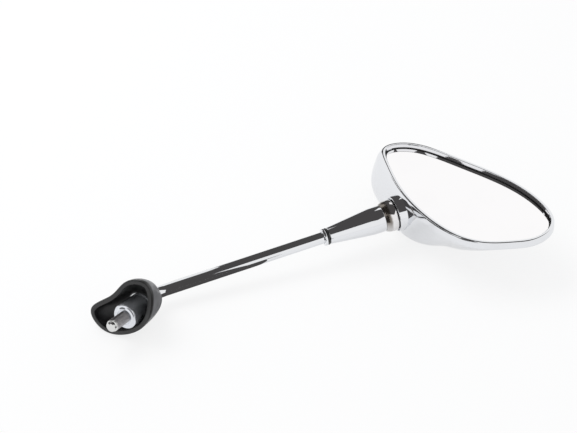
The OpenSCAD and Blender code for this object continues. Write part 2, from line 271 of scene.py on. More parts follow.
def rounded(path, radii, steps):
    """The path with a small curve at each corner that has a radius."""
    done = [path[0]]
    for k in range(1, len(path) - 1):
        r = radii.get(k, 0)
        corner = path[k]
        before = path[k - 1] - corner
        after = path[k + 1] - corner
        if r <= 0 or before.length < TINY or after.length < TINY:
            done.append(corner)
            continue
        a = corner + before.normalized() * min(r, before.length * CORNER_SHARE)
        b = corner + after.normalized() * min(r, after.length * CORNER_SHARE)
        for s in range(steps + 1):
            t = s / steps
            done.append(a * (1 - t) ** 2 + corner * 2 * t * (1 - t) + b * t * t)
    done.append(path[-1])
    return done


# meshes

def add_object(name, data):
    """A new object in the scene."""
    obj = bpy.data.objects.new(name, data)
    bpy.context.scene.collection.objects.link(obj)
    return obj


def shade(mesh, sharp):
    """Shades a mesh smooth, but for edges sharper than that many degrees."""
    mesh.shade_smooth()
    mesh.set_sharp_from_angle(angle=radians(sharp))


def result_of(obj):
    """The mesh that an object's modifiers make."""
    seen = obj.evaluated_get(bpy.context.evaluated_depsgraph_get())
    return bpy.data.meshes.new_from_object(seen)


def mesh_object(name, points, faces, place, sharp=35):
    """A mesh in metres with its place in its points, shaded smooth but for its sharp edges."""
    mesh = bpy.data.meshes.new(name)
    mesh.from_pydata([(place @ p) * MM for p in points], [], faces)
    mesh.validate()
    shade(mesh, sharp)
    return add_object(name, mesh)


def ring_mesh(name, rings, place, start=None, end=None, loop=False, sharp=35):
    """Skins rings of equal length, each next one joined to the last, with poles or as a loop."""
    n = len(rings[0])
    m = len(rings)
    points = [p for ring in rings for p in ring]
    faces = []
    for j in range(m if loop else m - 1):
        k = (j + 1) % m
        for i in range(n):
            i2 = (i + 1) % n
            faces.append((j * n + i, j * n + i2, k * n + i2, k * n + i))
    if start is not None:
        points.append(start)
        faces += [(len(points) - 1, (i + 1) % n, i) for i in range(n)]
    if end is not None:
        points.append(end)
        last = (m - 1) * n
        faces += [(last + i, last + (i + 1) % n, len(points) - 1) for i in range(n)]
    return mesh_object(name, points, faces, place, sharp)


def path_mesh(name, points, closed=False):
    """A mesh of edges only, for a tree that sweeps along it."""
    mesh = bpy.data.meshes.new(name)
    edges = [(k, k + 1) for k in range(len(points) - 1)]
    if closed:
        edges.append((len(points) - 1, 0))
    mesh.from_pydata(points, edges, [])
    return mesh


def turned(name, profile, place, steps=128, radii=None, sharp=35):
    """Turns a profile of (radius, height) about Z; a radius of 0 at an end closes it."""
    path = rounded([Vector((r, 0, z)) for r, z in profile], radii or {}, 4)
    rings = []
    start = end = None
    for p in path:
        if p.x < TINY:
            if rings:
                end = p
            else:
                start = p
            continue
        rings.append([Vector((p.x * cos(2 * pi * i / steps), p.x * sin(2 * pi * i / steps), p.z))
                      for i in range(steps)])
    return ring_mesh(name, rings, place, start, end, loop=start is None and end is None,
                     sharp=sharp)


def cut(obj, cutter, operation="DIFFERENCE"):
    """Cuts obj with cutter and takes the cutter away."""
    modifier = obj.modifiers.new("cut", "BOOLEAN")
    modifier.operation = operation
    modifier.solver = "EXACT"
    modifier.object = cutter
    made = result_of(obj)
    obj.modifiers.clear()
    old = obj.data
    obj.data = made
    bpy.data.meshes.remove(old)
    bpy.data.objects.remove(cutter)
    shade(made, 35)


# node values and trees

class Wire:
    """A node's value that can be added, multiplied and so on in plain Python."""

    def __init__(self, tree, socket):
        self.tree = tree
        self.socket = socket

    def _math(self, operation, a, b=None, clamp=False):
        node = self.tree.nodes.new("ShaderNodeMath")
        node.operation = operation
        node.use_clamp = clamp
        for place, value in enumerate((a, b)):
            if isinstance(value, Wire):
                self.tree.links.new(value.socket, node.inputs[place])
            elif value is not None:
                node.inputs[place].default_value = value
        return Wire(self.tree, node.outputs[0])

    def __add__(self, other):
        return self._math("ADD", self, other)

    def __sub__(self, other):
        return self._math("SUBTRACT", self, other)

    def __rsub__(self, other):
        return self._math("SUBTRACT", other, self)

    def __mul__(self, other):
        return self._math("MULTIPLY", self, other)

    def __truediv__(self, other):
        return self._math("DIVIDE", self, other)

    def clamped(self):
        return self._math("ADD", self, 0.0, clamp=True)

    def rise(self, start, gain):
        """0 up to the start, and from there up to 1 by the gain."""
        return ((self - start) * gain).clamped()

    def part(self):
        """What is left after the whole turns are taken off."""
        return self._math("FRACT", self)

    def size(self):
        return self._math("ABSOLUTE", self)

    def least(self, other):
        return self._math("MINIMUM", self, other)

    def over(self, other):
        """1 where the value is above the other one, else 0."""
        return self._math("GREATER_THAN", self, other)

    def angle_to(self, across):
        return self._math("ARCTAN2", self, across)


def socket_of(sockets, key):
    """The socket at that place, or the one in use with that name or identifier."""
    if isinstance(key, int):
        return sockets[key]
    for socket in sockets:
        names = (socket.name, socket.name.replace(" ", "_"), socket.identifier)
        if socket.enabled and key in names:
            return socket
    raise KeyError(f"no socket {key}")


class Nodes:
    """A node tree that grows one node at a time."""

    prefix = "ShaderNode"

    def __init__(self, tree):
        self.tree = tree

    def node(self, kind, options=None, output=0, **values):
        """A node of that kind, with its options and the values or wires of its sockets."""
        made = self.tree.nodes.new(kind if kind.startswith("ShaderNode") else self.prefix + kind)
        for key, value in (options or {}).items():
            setattr(made, key, value)
        for key, value in values.items():
            socket = socket_of(made.inputs, key)
            if isinstance(value, Wire):
                self.tree.links.new(value.socket, socket)
            elif socket.type == "RGBA" and len(value) == 3:
                socket.default_value = (*value, 1.0)
            else:
                socket.default_value = value
        return Wire(self.tree, socket_of(made.outputs, output)) if made.outputs else None


class Shape(Nodes):
    """A Geometry Nodes tree with named sizes, whose result becomes a plain mesh."""

    prefix = "GeometryNode"

    def __init__(self, name, **sizes):
        super().__init__(bpy.data.node_groups.new(name, "GeometryNodeTree"))
        interface = self.tree.interface
        interface.new_socket("Geometry", in_out="INPUT", socket_type="NodeSocketGeometry")
        interface.new_socket("Material", in_out="INPUT", socket_type="NodeSocketMaterial")
        interface.new_socket("Geometry", in_out="OUTPUT", socket_type="NodeSocketGeometry")
        for key, value in sizes.items():
            kind = "NodeSocketInt" if isinstance(value, int) else "NodeSocketFloat"
            interface.new_socket(key, in_out="INPUT", socket_type=kind).default_value = value
        self.start = self.tree.nodes.new("NodeGroupInput")
        self.end = self.tree.nodes.new("NodeGroupOutput")

    def size(self, name):
        return Wire(self.tree, self.start.outputs[name])

    def vector(self, **parts):
        return self.node("ShaderNodeCombineXYZ", **parts)

    def join(self, *parts):
        made = self.tree.nodes.new("GeometryNodeJoinGeometry")
        for part in parts:
            self.tree.links.new(part.socket, made.inputs[0])
        return Wire(self.tree, made.outputs[0])

    def finish(self, geometry):
        """Ends the tree: instances become real and get the material."""
        real = self.node("RealizeInstances", Geometry=geometry)
        done = self.node("SetMaterial", Geometry=real, Material=self.size("Material"))
        self.tree.links.new(done.socket, self.end.inputs[0])

    def make(self, name, place, material, start=None, sharp=35, **sizes):
        """The tree's result for those sizes, as a plain mesh at its place."""
        base = start or bpy.data.meshes.new(name)
        obj = add_object(name, base)
        modifier = obj.modifiers.new("shape", "NODES")
        modifier.node_group = self.tree
        ids = {item.name: item.identifier for item in self.tree.interface.items_tree
               if item.in_out == "INPUT"}
        modifier[ids["Material"]] = material
        for key, value in sizes.items():
            modifier[ids[key]] = value
        mesh = result_of(obj)
        obj.modifiers.remove(modifier)
        obj.data = mesh
        bpy.data.meshes.remove(base)
        mesh.transform(Matrix.Scale(MM, 4) @ place)
        shade(mesh, sharp)
        return obj


class Finish(Nodes):
    """One material, built node by node."""

    def __init__(self, name):
        self.material = bpy.data.materials.new(name)
        self.material.use_nodes = True
        super().__init__(self.material.node_tree)
        self.tree.nodes.clear()

    def place(self):
        return self.node("TexCoord", output="Object")

    def noise(self, scale, detail=3.0, roughness=0.55, vector=None):
        return self.node("TexNoise", Vector=vector or self.place(), Scale=scale, Detail=detail,
                         Roughness=roughness)

    def between(self, factor, low, high):
        """A colour between two, by a factor."""
        return self.node("Mix", {"data_type": "RGBA"}, "Result_Color", Factor_Float=factor,
                         A_Color=low, B_Color=high)

    def along(self, point, axis):
        """How far a place lies from a point along an axis, in metres."""
        away = self.node("VectorMath", {"operation": "SUBTRACT"}, Vector=self.place(),
                         Vector_001=point)
        return self.node("VectorMath", {"operation": "DOT_PRODUCT"}, "Value", Vector=away,
                         Vector_001=axis)

    def bump(self, height, strength, distance):
        return self.node("Bump", Height=height, Strength=strength, Distance=distance)

    def close(self, **values):
        """Ends the material with the principled shader."""
        self.node("OutputMaterial", Surface=self.node("BsdfPrincipled", **values))
        return self.material


_made = {}


def made_once(name, maker, **values):
    """The tree or material of that name, made once."""
    if name not in _made:
        _made[name] = maker(name, **values)
    return _made[name]


def swept(name):
    """Sweeps an oval along the path that comes in."""
    shape = Shape(name, Width=10.0, Height=10.0, Steps=64)
    line = shape.node("MeshToCurve", Mesh=shape.size("Geometry"))
    flat = shape.node("SetCurveNormal", {"mode": "Z_UP"}, Curve=line)
    ring = shape.node("CurvePrimitiveCircle", Resolution=shape.size("Steps"), Radius=0.5)
    scale = shape.vector(X=shape.size("Width"), Y=shape.size("Height"), Z=1.0)
    oval = shape.node("Transform", Geometry=ring, Scale=scale)
    tube = shape.node("CurveToMesh", Curve=flat, Profile_Curve=oval, Fill_Caps=True)
    shape.finish(tube)
    return shape


def threaded(name):
    """A stud whose crests climb with the angle, with a plain nose and a plain root."""
    shape = Shape(name, Radius=5.0, Root=4.2, Outside=20.0, Inside=8.0, Pitch=1.25, Depth=0.75,
                  Crest=0.12, Flank=0.72, Nose=2.6, Step=0.75, Chamfer=1.6, Steepness=100.0)
    radius = shape.size("Radius")
    inside = shape.size("Inside")
    whole = shape.size("Outside") + inside
    rod = shape.node("MeshCylinder", Vertices=96, Side_Segments=260, Radius=radius, Depth=whole)
    at = shape.node("InputPosition")
    x, y, z = (shape.node("ShaderNodeSeparateXYZ", output=k, Vector=at) for k in range(3))
    height = z + whole * 0.5
    climb = (height / shape.size("Pitch") - y.angle_to(x) / (2 * pi)).part()
    ridge = (((climb - 0.5).size() * 2.0 - shape.size("Crest")) / shape.size("Flank")).clamped()
    thread = radius - shape.size("Depth") * ridge
    tip = ((shape.size("Nose") - height) * shape.size("Steepness")).clamped()
    nose = (radius - shape.size("Step")).least(radius - shape.size("Chamfer") + height)
    thread = thread * (1.0 - tip) + nose * tip
    plain = height.over(shape.size("Outside"))
    share = (thread * (1.0 - plain) + shape.size("Root") * plain) / radius
    moved = shape.vector(X=x * share, Y=y * share, Z=height - shape.size("Outside"))
    shape.finish(shape.node("SetPosition", Geometry=rod, Position=moved))
    return shape


def screws(name):
    """Two equal screws with a six-sided recess, side by side."""
    shape = Shape(name, Spacing=35.0, Tip=11.4, Seat=15.8, Shank=1.48, Head=2.7, Thick=1.9,
                  Recess=1.45, Recess_Up=0.95)
    seat = shape.size("Seat")
    thick = shape.size("Thick")
    length = seat - shape.size("Tip")
    up = shape.vector(Z=seat + thick * 0.5)
    head = shape.node("MeshCylinder", Vertices=48, Radius=shape.size("Head"), Depth=thick)
    head = shape.node("Transform", Geometry=head, Translation=up)
    hexagon = shape.node("MeshCylinder", Vertices=6, Radius=shape.size("Recess"), Depth=thick)
    deep = shape.vector(Z=seat + thick * shape.size("Recess_Up"))
    hexagon = shape.node("Transform", Geometry=hexagon, Translation=deep)
    cup = shape.node("MeshBoolean", {"operation": "DIFFERENCE"}, Mesh_1=head, Mesh_2=hexagon)
    shank = shape.node("MeshCylinder", Vertices=32, Radius=shape.size("Shank"), Depth=length)
    low = shape.vector(Z=seat - length * 0.5)
    shank = shape.node("Transform", Geometry=shank, Translation=low)
    one = shape.join(cup, shank)
    begin = shape.vector(X=shape.size("Spacing") * -0.5)
    gap = shape.vector(X=shape.size("Spacing"))
    pair = shape.node("MeshLine", Count=2, Start_Location=begin, Offset=gap)
    shape.finish(shape.node("InstanceOnPoints", Points=pair, Instance=one))
    return shape


def chrome(name, tint, smudges):
    """Bright plated chrome: faint smudges, fine wiping marks and a little orange peel."""
    f = Finish(name)
    smudge = f.noise(scale=38.0, detail=4.0)
    drawn = f.node("Mapping", {"vector_type": "POINT"}, Vector=f.place(), Scale=(1.0, 6.0, 1.0))
    wiped = f.noise(scale=420.0, detail=2.0, roughness=0.6, vector=drawn)
    peel = f.noise(scale=190.0, detail=2.0)
    haze = smudge.rise(0.52, gain=3.0)
    colour = f.between(haze, tint, tuple(c * 0.94 for c in tint))
    rough = haze * (0.05 * smudges) + wiped * 0.025 + 0.02
    height = peel * 0.6 + wiped * 0.4
    return f.close(Base_Color=colour, Metallic=1.0, Roughness=rough,
                   Normal=f.bump(height, 0.03, 0.0002))


def greased_chrome(name, tint, centre, axis):
    """Chrome of the ball, with a painted reflection: a brown ring beside the sleeve, stronger on
    the upper side.
    """
    f = Finish(name)
    patch = f.noise(scale=300.0, detail=4.0)
    low, high = PAINTED_REFLECTION_RING
    # painted reflection: the dark surroundings that the ball mirrors are painted on as a brown
    # ring, darker on the upper side
    ring = ((high - f.along(centre, axis) + patch * PAINTED_REFLECTION_WAVER) / (high - low)).clamped()
    below, span = PAINTED_REFLECTION_SIDE
    upper = ((f.along(centre, (0.0, 0.0, 1.0)) + below) / span).clamped()
    film = ring * (upper * 0.7 + 0.3)
    reflection_patches = f.noise(scale=60.0, detail=3.0)
    colour = f.between(film * (reflection_patches * 0.5 + 0.65).clamped(), tint, PAINTED_REFLECTION_BROWN)
    rough = film * 0.16 + patch * 0.03 + 0.03
    return f.close(Base_Color=colour, Metallic=1.0, Roughness=rough,
                   Normal=f.bump(patch, 0.05, 0.0001))


def stud_zinc(name, tint, tip, axis):
    """Zinc of the stud: bright at its nose, greyer and duller along the thread behind it."""
    f = Finish(name)
    patch = f.noise(scale=260.0, detail=3.0)
    # from a little behind the nose on, the zinc turns greyer and duller in patches
    behind = ((f.along(tip, axis) - STUD_GREY_START) / STUD_GREY_BLEND).clamped()
    greyed = behind * (patch * 0.6 + 0.6).clamped()
    colour = f.between(greyed, tint, STUD_GREY)
    rough = greyed * 0.12 + patch * 0.04 + 0.1
    return f.close(Base_Color=colour, Metallic=1.0, Roughness=rough)


def plated_steel(name, tint, roughness, metallic=1.0):
    """Zinc plated steel: a satin grain with duller patches, less metallic under a film."""
    f = Finish(name)
    patch = f.noise(scale=160.0, detail=4.0)
    grain = f.noise(scale=1600.0, detail=2.0)
    dull = patch.rise(0.45, gain=2.5)
    colour = f.between(dull, tint, tuple(c * 0.85 for c in tint))
    rough = dull * 0.08 + grain * 0.04 + roughness
    return f.close(Base_Color=colour, Metallic=metallic, Roughness=rough,
                   Normal=f.bump(grain, 0.04, 0.00005))


def rubber(name, tint, roughness, dusty):
    """Moulded rubber: fine leathery skin, dust in patches, and a painted sheen, pale grey where
    the mesh marks it.
    """
    f = Finish(name)
    skin = f.noise(scale=900.0, detail=4.0, roughness=0.65)
    dust = f.noise(scale=70.0, detail=5.0, roughness=0.6)
    veil = dust.rise(0.5, gain=3.0)
    # painted sheen: where the mesh marks it, pale grey is painted in place of the satin
    # reflection that black rubber shows
    bloom = f.node("Attribute", {"attribute_name": "bloom"}, "Fac")
    cloud = f.noise(scale=45.0, detail=3.0)
    sheen_share = (bloom * (cloud + 0.35)).clamped()
    colour = f.between(sheen_share, f.between(veil * dusty, tint, DUST), PAINTED_SHEEN_GREY)
    rough = skin * 0.14 + veil * 0.08 + roughness
    return f.close(Base_Color=colour, Metallic=0.0, Roughness=rough, Specular_IOR_Level=0.5,
                   Coat_Weight=0.3, Coat_Roughness=0.3, Sheen_Weight=0.1, Sheen_Roughness=0.35,
                   Normal=f.bump(skin, 0.2, 0.0002))


def foam(name, tint):
    """Black foam tape with fine cells."""
    f = Finish(name)
    cells = f.node("TexVoronoi", Vector=f.place(), Scale=1800.0)
    colour = f.between(cells.clamped(), tint, tuple(c * 2.4 for c in tint))
    return f.close(Base_Color=colour, Metallic=0.0, Roughness=cells * 0.1 + 0.82,
                   Normal=f.bump(cells, 0.4, 0.0002))


def nylon(name, tint):
    """Black nylon with a fine grain."""
    f = Finish(name)
    grain = f.noise(scale=700.0, detail=3.0)
    colour = f.between(grain.clamped(), tint, tuple(c * 1.5 for c in tint))
    return f.close(Base_Color=colour, Metallic=0.0, Roughness=grain * 0.12 + 0.4,
                   Normal=f.bump(grain, 0.1, 0.0001))


def silvered_glass(name, tint):
    """Mirror glass: nearly perfect, with a faint film of dust."""
    f = Finish(name)
    film = f.noise(scale=26.0, detail=5.0, roughness=0.6)
    specks = f.noise(scale=900.0, detail=2.0)
    haze = film.rise(0.5, gain=2.0)
    colour = f.between(haze, tint, tuple(c * 0.97 for c in tint))
    rough = haze * 0.02 + specks * 0.01 + 0.006
    return f.close(Base_Color=colour, Metallic=1.0, Roughness=rough)


# settings that a user would change

def colour_setting(name, description, default):
    """A setting for a colour."""
    return FloatVectorProperty(name=name, description=description, subtype="COLOR", size=3,
                               default=default)


class ChromeSettings(bpy.types.PropertyGroup):
    tint: colour_setting("Chrome colour", "Colour of the plating", (0.80, 0.81, 0.83))
    smudges: FloatProperty(name="Smudges", description="How smudged the plating is",
                           default=0.8, min=0.0, max=3.0)
    steps: IntProperty(name="Steps round", description="Facets round a turned piece",
                       default=144, min=48, max=256)


class HousingSettings(bpy.types.PropertyGroup):
    around: IntProperty(name="Steps round the rim", description="Facets round the rim",
                        default=320, min=96, max=480)
    rib_steps: IntProperty(name="Steps down a rib", description="Facets from rim to belly",
                           default=30, min=12, max=60)
    edge_round: FloatProperty(name="Rim rounding", description="Rounding of the rim's edge, mm",
                              default=1.1, min=0.2, max=1.6)


class BootSettings(bpy.types.PropertyGroup):
    tint: colour_setting("Rubber colour", "Colour of the boot", (0.007, 0.007, 0.0075))
    dusty: FloatProperty(name="Dust", description="How dusty the rubber is", default=0.2,
                         min=0.0, max=1.0)
    edge_round: FloatProperty(name="Edge rounding", description="Rounding of the open edge, mm",
                              default=1.3, min=0.3, max=1.8)


class StudSettings(bpy.types.PropertyGroup):
    pitch: FloatProperty(name="Thread pitch", description="Pitch of the stud's thread, mm",
                         default=1.25, min=0.8, max=2.0)
    tint: colour_setting("Zinc colour", "Colour of the plated steel", (0.72, 0.72, 0.71))


class GlassSettings(bpy.types.PropertyGroup):
    tint: colour_setting("Glass colour", "Colour of the mirror", (0.965, 0.955, 0.96))
    bevel: FloatProperty(name="Ground edge", description="Width of the ground edge, mm",
                         default=0.5, min=0.1, max=1.0)


class StageSettings(bpy.types.PropertyGroup):
    lens: FloatProperty(name="Lens", description="Focal length on a 36 mm sensor, mm",
                        default=112.3, min=50.0, max=200.0)
    lamp_power: FloatProperty(name="Lamp", description="Power of the soft lamp", unit="POWER",
                              default=9.0, min=0.0, max=100.0)
    card_shows: BoolProperty(name="Dark cards", description="The chrome reflects dark cards",
                             default=True)


def settings(name):
    """One group of the scene's settings, by its name."""
    return getattr(bpy.context.scene, "mirror_" + name)


def dress(node_name, material):
    """Gives a CAD node a material."""
    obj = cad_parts[node_name]
    if not obj.material_slots:
        obj.data.materials.append(material)
    for slot in obj.material_slots:
        slot.material = material


def finish_piece(obj, body, material, slot_name, *nodes):
    """Gives a new piece its material and its body, and hides the nodes that it stands for."""
    obj.data.materials.clear()
    obj.data.materials.append(material)
    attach(obj, body)
    if nodes:
        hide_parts(*nodes)


def chrome_material():
    s = settings("chrome")
    return made_once("plated_chrome", chrome, tint=tuple(s.tint), smudges=s.smudges)


def zinc_material():
    tint = tuple(settings("stud").tint)
    return made_once("zinc_steel", plated_steel, tint=tint, roughness=0.1)


def rubber_material():
    s = settings("boot")
    return made_once("boot_rubber", rubber, tint=tuple(s.tint), roughness=0.42,
                        dusty=s.dusty)


class MIRROR_OT_stem(bpy.types.Operator):
    """Sweeps the bent stem rod as one smooth tube"""
    bl_idname = "mirror.stem"
    bl_label = "Stem"

    def execute(self, context):
        side = BEND_R * tan(radians(STEM_BEND) / 2)
        middle = Vector((BEND_R, 0, FOOT_RUN - side))
        line = [Vector((0, 0, ROD_START)), Vector((0, 0, FOOT_RUN - side))]
        bend_steps = 32
        for k in range(1, bend_steps + 1):
            a = radians(STEM_BEND) * k / bend_steps
            line.append(middle + Vector((-cos(a), 0, sin(a))) * BEND_R)
        way = Vector((sin(radians(STEM_BEND)), 0, cos(radians(STEM_BEND))))
        line.append(Vector((0, 0, FOOT_RUN)) + way * (HEAD_RUN + ROD_END))
        tube = made_once("swept_path", swept)
        rod = tube.make("bent_rod", AT_FOOT, chrome_material(), path_mesh("rod_path", line),
                        Width=2 * STEM_R, Height=2 * STEM_R, Steps=72)
        finish_piece(rod, "stem", chrome_material(), "chrome_plate", "stem_rod")
        return {"FINISHED"}


class MIRROR_OT_foot(bpy.types.Operator):
    """Turns the chromed boss of the foot with its shoulder and grooves"""
    bl_idname = "mirror.foot"
    bl_label = "Foot"

    def execute(self, context):
        bore = ROOT_R + THREAD_FIT
        face = SHOULDER_H
        edge = 0.6
        rod_bore = STEM_R + FIT
        rod_end = ROD_START - SLIP
        profile = [(bore, STUD_IN), (bore, 0.0)]
        profile += [(SHOULDER_R - inset, depth) for inset, depth in GROOVE]
        profile += [(SHOULDER_R, 0.0), (SHOULDER_R + SHOULDER_FLARE, face),
                    (FOOT_R - edge, face), (FOOT_R, face + edge),
                    (FOOT_R, FOOT_LEN - edge), (FOOT_R - edge, FOOT_LEN),
                    (rod_bore, FOOT_LEN), (rod_bore, rod_end), (bore, rod_end)]
        boss = turned("foot_boss", profile, AT_FOOT, settings("chrome").steps,
                      radii={6: 0.25, 7: 0.3, 8: 0.2, 9: 0.2, 10: 0.2, 11: 0.2})
        satin = made_once("satin_chrome", plated_steel, tint=(0.78, 0.80, 0.84),
                             roughness=0.12, metallic=0.86)
        finish_piece(boss, "stem", satin, "chrome_plate", "foot")
        return {"FINISHED"}


class MIRROR_OT_stud(bpy.types.Operator):
    """Cuts the thread on the mounting stud"""
    bl_idname = "mirror.stud"
    bl_label = "Stud"

    def execute(self, context):
        s = settings("stud")
        tip = (AT_FOOT @ Vector((0, 0, -STUD_LEN))) * MM
        finish = made_once("stud_zinc", stud_zinc, tint=tuple(s.tint), tip=tip,
                              axis=AT_FOOT.to_3x3().col[2])
        stud = threaded("threaded_rod").make(
            "threaded_stud", AT_FOOT, finish, Radius=STUD_R, Root=ROOT_R, Outside=STUD_LEN,
            Inside=STUD_IN - SLIP, Pitch=s.pitch, Depth=0.6 * s.pitch, sharp=50)
        finish_piece(stud, "stem", finish, "zinc_steel", "mounting_stud")
        return {"FINISHED"}


class MIRROR_OT_boot(bpy.types.Operator):
    """Skins the rubber boot with rounded edges and a lip inside its opening"""
    bl_idname = "mirror.boot"
    bl_label = "Boot"

    def execute(self, context):
        s = settings("boot")
        around = 240
        down = 26
        top_round = 1.0
        length = BOOT_END - BOOT_EDGE
        inner = BOOT_FLOOR - BOOT_EDGE
        ribs = []
        for i in range(around):
            u = i * len(BOOT_SHAPE) / around
            out = outward(BOOT_SHAPE, u)
            rim = spline(BOOT_SHAPE, u)
            way = rim.normalized()
            path = [lifted(way * BOOT_HOLE_R, BOOT_END)]
            outer = (lifted(way * BOOT_TOP_R, BOOT_END),
                     lifted(way * BOOT_SHOULDER_R, BOOT_EDGE + BOOT_SHOULDER_AT * length),
                     lifted(rim - out * BOOT_SIDE_IN, BOOT_EDGE + BOOT_SIDE_AT * length),
                     lifted(rim, BOOT_EDGE))
            path += [bezier(*outer, k / down) for k in range(down + 1)]
            inside = rim - out * BOOT_WALL
            deep = (lifted(inside, BOOT_EDGE),
                    lifted(inside + out * HOLLOW_OUT, BOOT_EDGE + HOLLOW_AT * inner),
                    lifted(way * HOLLOW_R, BOOT_FLOOR - HOLLOW_DROP),
                    lifted(way * HOLLOW_TOP_R, BOOT_FLOOR))
            path += [bezier(*deep, k / down) for k in range(down + 1)]
            path.append(lifted(way * BOOT_HOLE_R, BOOT_FLOOR))
            corners = {1: top_round, down + 1: s.edge_round, down + 2: s.edge_round}
            ribs.append(rounded(path, corners, 5))
        rings = [[rib[k] for rib in ribs] for k in range(len(ribs[0]))]
        boot = ring_mesh("rubber_boot", rings, AT_FOOT, loop=True, sharp=60)
        # the outer wall is marked for the painted sheen, a pale grey painted in place of its
        # satin reflection
        bloom = boot.data.attributes.new("bloom", "FLOAT", "POINT")
        before_outside, after_outside = 2, down + 4
        for j in range(len(rings)):
            share = 1.0 if before_outside < j < after_outside else 0.0
            for i in range(around):
                bloom.data[j * around + i].value = share
        finish_piece(boot, "stem", rubber_material(), "black_rubber", "boot")
        return {"FINISHED"}


class MIRROR_OT_sleeve(bpy.types.Operator):
    """Turns the tapered sleeve and its collar ring, and gives the seal its finish"""
    bl_idname = "mirror.sleeve"
    bl_label = "Sleeve"

    def execute(self, context):
        steps = settings("chrome").steps
        bore = STEM_R + SLIP
        spigot = SPIGOT_R + SLIP
        step_at = SLEEVE_FRONT - SPIGOT_LEN - SLIP
        cone = [(bore, SLEEVE_BACK), (SLEEVE_THIN_R, SLEEVE_BACK),
                (SLEEVE_WIDE_R, SLEEVE_FRONT - SLEEVE_STRAIGHT), (SLEEVE_WIDE_R, SLEEVE_FRONT),
                (spigot, SLEEVE_FRONT), (spigot, step_at), (bore, step_at)]
        sleeve = turned("tapered_sleeve", cone, AT_BALL, steps, radii={1: 0.6, 2: 2.5, 3: 0.5})
        finish_piece(sleeve, "stem", chrome_material(), "chrome_plate", "sleeve")
        ring = [(bore, COLLAR_BACK), (COLLAR_R, COLLAR_BACK), (COLLAR_R, COLLAR_BACK + COLLAR_W),
                (bore, COLLAR_BACK + COLLAR_W)]
        collar = turned("collar_ring", ring, AT_BALL, steps, radii={1: 0.9, 2: 0.9})
        finish_piece(collar, "stem", chrome_material(), "chrome_plate", "sleeve_ring")
        dress("o_ring", rubber_material())
        return {"FINISHED"}


class MIRROR_OT_knuckle(bpy.types.Operator):
    """Turns the knuckle ball with its spigot"""
    bl_idname = "mirror.knuckle"
    bl_label = "Knuckle"

    def execute(self, context):
        flat = SLEEVE_FRONT + FIT
        bolt = BOLT_R + THREAD_FIT
        rod_top = ROD_END + SLIP
        profile = [(bolt, 1.0), (bolt, sqrt(BALL_R ** 2 - bolt ** 2))]
        ball_steps = 72
        first = asin(bolt / BALL_R)
        last = pi - asin(sqrt(BALL_R ** 2 - flat ** 2) / BALL_R)
        for k in range(1, ball_steps + 1):
            a = first + (last - first) * k / ball_steps
            profile.append((BALL_R * sin(a), BALL_R * cos(a)))
        low = SLEEVE_FRONT - SPIGOT_LEN
        profile += [(SPIGOT_R, flat), (SPIGOT_R, low), (STEM_R + FIT, low),
                    (STEM_R + FIT, rod_top), (bolt, rod_top)]
        profile.reverse()
        ball = turned("knuckle_ball", profile, AT_BALL, settings("chrome").steps)
        # the ball's chrome, with its painted reflection
        film = made_once("greased_chrome", greased_chrome, tint=(0.80, 0.79, 0.79),
                            centre=AT_BALL.translation * MM, axis=AT_BALL.to_3x3().col[2])
        finish_piece(ball, "stem", film, "chrome_plate", "knuckle")
        return {"FINISHED"}


def skin_pod(s):
    """The pod with its rim, its ledge for the glass and its hollow."""
    throat = LEDGE_TOP - LEDGE_T
    down = s.rib_steps
    ribs = []
    for i in range(s.around):
        u = i * len(HEAD_SHAPE) / s.around
        out = outward(HEAD_SHAPE, u)
        rim = spline(HEAD_SHAPE, u)
        outer = head_rib(u, 0, HEAD_DEEP)
        inner = head_rib(u, WALL, HEAD_DEEP - WALL)
        path = [bezier(*outer, 1 - k / down) for k in range(1, down + 1)]
        path += [lifted(rim, 0), lifted(rim - out * LIP, 0), lifted(rim - out * LIP, LEDGE_TOP),
                 lifted(rim - out * LEDGE, LEDGE_TOP), lifted(rim - out * LEDGE, throat)]
        start = rib_place(inner, throat)
        path += [bezier(*inner, start + (1 - start) * k / down) for k in range(down)]
        corners = {down - 1: BAND_ROUND, down: s.edge_round, down + 1: LIP_ROUND}
        ribs.append(rounded(path, corners, 6))
    rings = [[rib[k] for rib in ribs] for k in range(len(ribs[0]))]
    return ring_mesh("pod_housing", rings, AT_HEAD, lifted(BELLY_AT, -HEAD_DEEP),
                     lifted(BELLY_AT, -(HEAD_DEEP - WALL)))


def open_neck(pod):
    """Cuts the hole for the stem's end and the round room for the ball into the pod."""
    fine = 192
    far = 15
    neck = [(0, CUT_FROM), (NECK_R, CUT_FROM), (NECK_R, far), (0, far)]
    cut(pod, turned("neck_cutter", neck, AT_BALL, fine))
    arc = 48
    room = [(BALL_ROOM * sin(pi * k / arc), -BALL_ROOM * cos(pi * k / arc))
            for k in range(arc + 1)]
    cut(pod, turned("ball_cutter", room, AT_BALL, fine))


def turn_neck_ring(steps):
    """The ring of the housing round the ball, hollow so that the head can turn."""
    low = asin(NECK_R / NECK_ROOM)
    high = acos(NECK_FRONT / NECK_ROOM)
    arc = 12
    angles = [low + (high - low) * k / arc for k in range(arc + 1)]
    hollow = [(NECK_ROOM * sin(a), NECK_ROOM * cos(a)) for a in angles]
    ring = [(NECK_R, NECK_IN)] + hollow + [(NECK_RING_R, NECK_FRONT), (NECK_RING_R, NECK_IN)]
    radii = {arc + 1: NECK_EDGE, arc + 2: NECK_ROUND}
    return turned("neck_ring", ring, AT_BALL, steps, radii)


